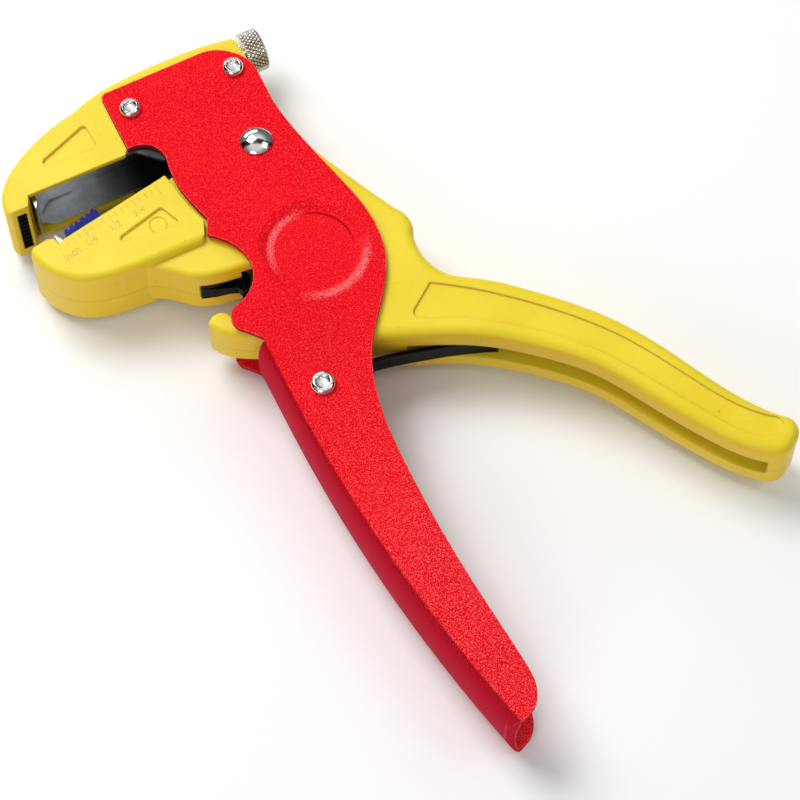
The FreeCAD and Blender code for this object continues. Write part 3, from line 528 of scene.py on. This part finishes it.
# The scale on the lower jaw's face, in millimetres, along the edge of the slot.
SCALE_ZERO = (-50.1, 25.35)
SCALE_ANGLE = math.radians(10.5)
INCH = 25.4
SIXTEENTHS = 16
TICK_HALF_WIDTH = 0.13
TICK_TOP = 0.35         # from the jaw's edge to the ticks' upper ends
TICK_SUNK = 0.05
TICK_PROUD = 0.08
TICK_LENGTH = 1.1
LONGER_TICKS = ((2, 1.5), (4, 2.0), (16, 2.9))      # every so many ticks, and their length
BOX_FACES = ((0, 1, 2, 3), (7, 6, 5, 4), (0, 4, 5, 1), (1, 5, 6, 2), (2, 6, 7, 3), (3, 7, 4, 0))
LETTER_LIFT = 0.02      # the middle of the letters, above the face
LETTER_DEPTH = 0.065    # each way from their middle
WORD_PLACE = (1.0, 3.7)         # along the scale and below the edge
WORD_SIZE = 2.6
FRACTION_SHIFT = -0.2           # along the scale, from the tick that the fraction names
FRACTION_BELOW = 3.6
FRACTION_SIZE = 2.3
MARK_PLACE = (-28.4, 20.6)      # the ring in the jaw's scoop
MARK_DEPTH = 0.68
MARK_RADIUS = 1.95
MARK_WIRE = 0.16


def on_scale(along, below):
    """A place on the jaw's face, from a distance along the scale and one below its edge."""
    x = SCALE_ZERO[0] + along * math.cos(SCALE_ANGLE) + below * math.sin(SCALE_ANGLE)
    y = SCALE_ZERO[1] + along * math.sin(SCALE_ANGLE) - below * math.cos(SCALE_ANGLE)
    return x, y


def scale_ticks():
    """Raised sixteenths of an inch, longer at the eighths, quarters and the inch."""
    points = []
    faces = []
    for sixteenth in range(1, SIXTEENTHS + 1):
        length = TICK_LENGTH
        for every, longer in LONGER_TICKS:
            if sixteenth % every == 0:
                length = longer
        left = INCH * sixteenth / SIXTEENTHS - TICK_HALF_WIDTH
        right = INCH * sixteenth / SIXTEENTHS + TICK_HALF_WIDTH
        bottom = TICK_TOP + length
        first = len(points)
        for height in (JAW_FACE - TICK_SUNK, JAW_FACE + TICK_PROUD):
            for corner in ((left, TICK_TOP), (right, TICK_TOP), (right, bottom), (left, bottom)):
                points.append(place(*on_scale(*corner), height))
        faces += [tuple(first + corner for corner in face) for face in BOX_FACES]
    ticks = new_piece("scale_ticks", points, faces, SCALE_YELLOW)
    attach(ticks, "lower_jaw")


def scale_label(name, text, along, below, size):
    """A raised word or fraction on the lower jaw's face."""
    curve = bpy.data.curves.new(name, "FONT")
    curve.body = text
    curve.size = size * MM
    curve.extrude = LETTER_DEPTH * MM
    curve.resolution_u = 3
    curve.align_x = "CENTER"
    curve.align_y = "CENTER"
    mould = show(bpy.data.objects.new(name + "_text", curve))
    bpy.context.view_layer.update()
    mesh = bpy.data.meshes.new_from_object(mould)
    bpy.data.objects.remove(mould)
    mesh.materials.clear()
    mesh.materials.append(SCALE_YELLOW)
    label = show(bpy.data.objects.new(name, mesh))
    label.location = place(*on_scale(along, below), JAW_FACE + LETTER_LIFT)
    label.rotation_euler = (0.0, 0.0, SCALE_ANGLE)
    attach(label, "lower_jaw")


def scale_marks():
    """The generic inch scale moulded on the lower jaw."""
    scale_ticks()
    scale_label("scale_word", "inch", *WORD_PLACE, WORD_SIZE)
    for quarter, text in ((1, "1/4"), (2, "1/2"), (3, "3/4")):
        along = INCH * quarter / 4 + FRACTION_SHIFT
        scale_label("scale_quarter_%d" % quarter, text, along, FRACTION_BELOW, FRACTION_SIZE)


def cavity_mark():
    """A thin raised ring moulded in the lower jaw's scoop."""
    bpy.ops.mesh.primitive_torus_add(
        location=place(*MARK_PLACE, JAW_FACE - MARK_DEPTH),
        major_radius=MARK_RADIUS * MM, minor_radius=MARK_WIRE * MM,
        major_segments=64, minor_segments=10)
    ring = bpy.context.object
    ring.name = "cavity_mark"
    ring.data.materials.append(MATERIALS["yellow_plastic"])
    for polygon in ring.data.polygons:
        polygon.use_smooth = True
    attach(ring, "lower_jaw")


dress_nodes()
knurled_knob()
scale_marks()
cavity_mark()


# ---------------------------------------------------------------- stage, light and camera

FLOOR_REACH = 3.0       # metres each way
FLOOR_GAP = 0.0001      # below the tool, so that the two don't share a plane
FLOOR_GREY = 0.93

# The surroundings' brightness by height, and a dark broken band across them.
HORIZON = (0.10, (0.10, 0.10, 0.11, 1.0))
HALF_UP = (0.55, (0.20, 0.20, 0.21, 1.0))
OVERHEAD = (0.85, (0.80, 0.80, 0.80, 1.0))
BAND_ACROSS = (0.434, 0.890, -0.112)
BAND_NOISE_SCALE = 4.0
BAND_NOISE_STRENGTH = 0.5
BAND_FADE = (0.42, 0.50)
BAND_DARKNESS = 0.03

# Name, place in metres, width and height, and power in watts of each softbox.
SOFTBOXES = (
    ("key", (-0.20, 0.48, 0.84), (0.5, 0.5), 6.6),
    ("back", (0.0, 0.90, 0.40), (0.8, 0.2), 1.8),
    ("fill", (0.50, -0.30, 0.70), (0.4, 0.4), 0.9),
    ("front", (-0.55, -0.50, 0.45), (0.4, 0.4), 1.3),
)
LIGHT_AIM = (0.0, -20.0)

CAMERA_AIM = (3.4, -37.0, -2.0)
CAMERA_AZIMUTH = math.radians(-26.0)
CAMERA_ELEVATION = math.radians(64.5)
CAMERA_DISTANCE = 0.628
LENS = 128.25
SENSOR_WIDTH = 36.0
CLIP_START = 0.01


def floor():
    """A plain pale floor, a little under the tool."""
    side = FLOOR_REACH
    mesh = bpy.data.meshes.new("floor")
    mesh.from_pydata([(-side, -side, 0), (side, -side, 0), (side, side, 0), (-side, side, 0)],
                     [], [(0, 1, 2, 3)])
    ground = show(bpy.data.objects.new("floor", mesh))
    ground.location.z = CAD_BOX[0].z - FLOOR_GAP
    s = Shader("floor_paint")
    s.set(Base_Color=(FLOOR_GREY, FLOOR_GREY, FLOOR_GREY, 1.0), Roughness=0.8)
    mesh.materials.append(s.material)


def softbox(name, location, size, power):
    """A soft rectangular light pointed at the tool."""
    data = bpy.data.lights.new(name, "AREA")
    data.shape = "RECTANGLE"
    data.size, data.size_y = size
    data.energy = power
    lamp = show(bpy.data.objects.new(name, data))
    lamp.location = location
    towards = place(*LIGHT_AIM) - Vector(location)
    lamp.rotation_euler = towards.to_track_quat("-Z", "Y").to_euler()


def sky_brightness(tree, coords):
    """Colour of the surroundings by height: dark low down, bright above."""
    split = tree.nodes.new("ShaderNodeSeparateXYZ")
    tree.links.new(coords, split.inputs["Vector"])
    ramp = tree.nodes.new("ShaderNodeValToRGB")
    tree.links.new(split.outputs["Z"], ramp.inputs["Fac"])
    stops = ramp.color_ramp.elements
    stops[0].position, stops[0].color = HORIZON
    stops[1].position, stops[1].color = OVERHEAD
    stops.new(HALF_UP[0]).color = HALF_UP[1]
    return ramp.outputs["Color"]


def sky_band(tree, coords):
    """Brightness of the surroundings near the dark band, which noise breaks up."""
    across = tree.nodes.new("ShaderNodeVectorMath")
    across.operation = "DOT_PRODUCT"
    tree.links.new(coords, across.inputs[0])
    across.inputs[1].default_value = BAND_ACROSS
    away = tree.nodes.new("ShaderNodeMath")
    away.operation = "ABSOLUTE"
    tree.links.new(across.outputs["Value"], away.inputs[0])
    noise = tree.nodes.new("ShaderNodeTexNoise")
    noise.inputs["Scale"].default_value = BAND_NOISE_SCALE
    tree.links.new(coords, noise.inputs["Vector"])
    broken = tree.nodes.new("ShaderNodeMath")
    broken.operation = "MULTIPLY_ADD"
    tree.links.new(noise.outputs["Fac"], broken.inputs[0])
    broken.inputs[1].default_value = BAND_NOISE_STRENGTH
    tree.links.new(away.outputs["Value"], broken.inputs[2])
    fade = tree.nodes.new("ShaderNodeMapRange")
    tree.links.new(broken.outputs["Value"], fade.inputs["Value"])
    fade.inputs["From Min"].default_value = BAND_FADE[0]
    fade.inputs["From Max"].default_value = BAND_FADE[1]
    fade.inputs["To Min"].default_value = BAND_DARKNESS
    return fade.outputs["Result"]


def surroundings():
    """Plain studio surroundings, for the light and for the metal to reflect."""
    world = bpy.data.worlds.new("studio")
    world.use_nodes = True
    tree = world.node_tree
    coords = tree.nodes.new("ShaderNodeTexCoord").outputs["Generated"]
    shade = tree.nodes.new("ShaderNodeVectorMath")
    shade.operation = "SCALE"
    tree.links.new(sky_brightness(tree, coords), shade.inputs[0])
    tree.links.new(sky_band(tree, coords), shade.inputs["Scale"])
    tree.links.new(shade.outputs["Vector"], tree.nodes["Background"].inputs["Color"])
    bpy.context.scene.world = world


def camera():
    """Long lens, above the near cheek and a little to the mouth's side."""
    aim = place(*CAMERA_AIM)
    back = Vector((math.sin(CAMERA_AZIMUTH) * math.cos(CAMERA_ELEVATION),
                   -math.cos(CAMERA_AZIMUTH) * math.cos(CAMERA_ELEVATION),
                   math.sin(CAMERA_ELEVATION)))
    data = bpy.data.cameras.new("camera")
    data.lens = LENS
    data.sensor_width = SENSOR_WIDTH
    data.clip_start = CLIP_START
    view = show(bpy.data.objects.new("camera", data))
    view.location = aim + back * CAMERA_DISTANCE
    view.rotation_euler = (-back).to_track_quat("-Z", "Y").to_euler()
    bpy.context.scene.camera = view


floor()
surroundings()
for box in SOFTBOXES:
    softbox(*box)
camera()
bpy.context.scene.view_settings.view_transform = "Standard"
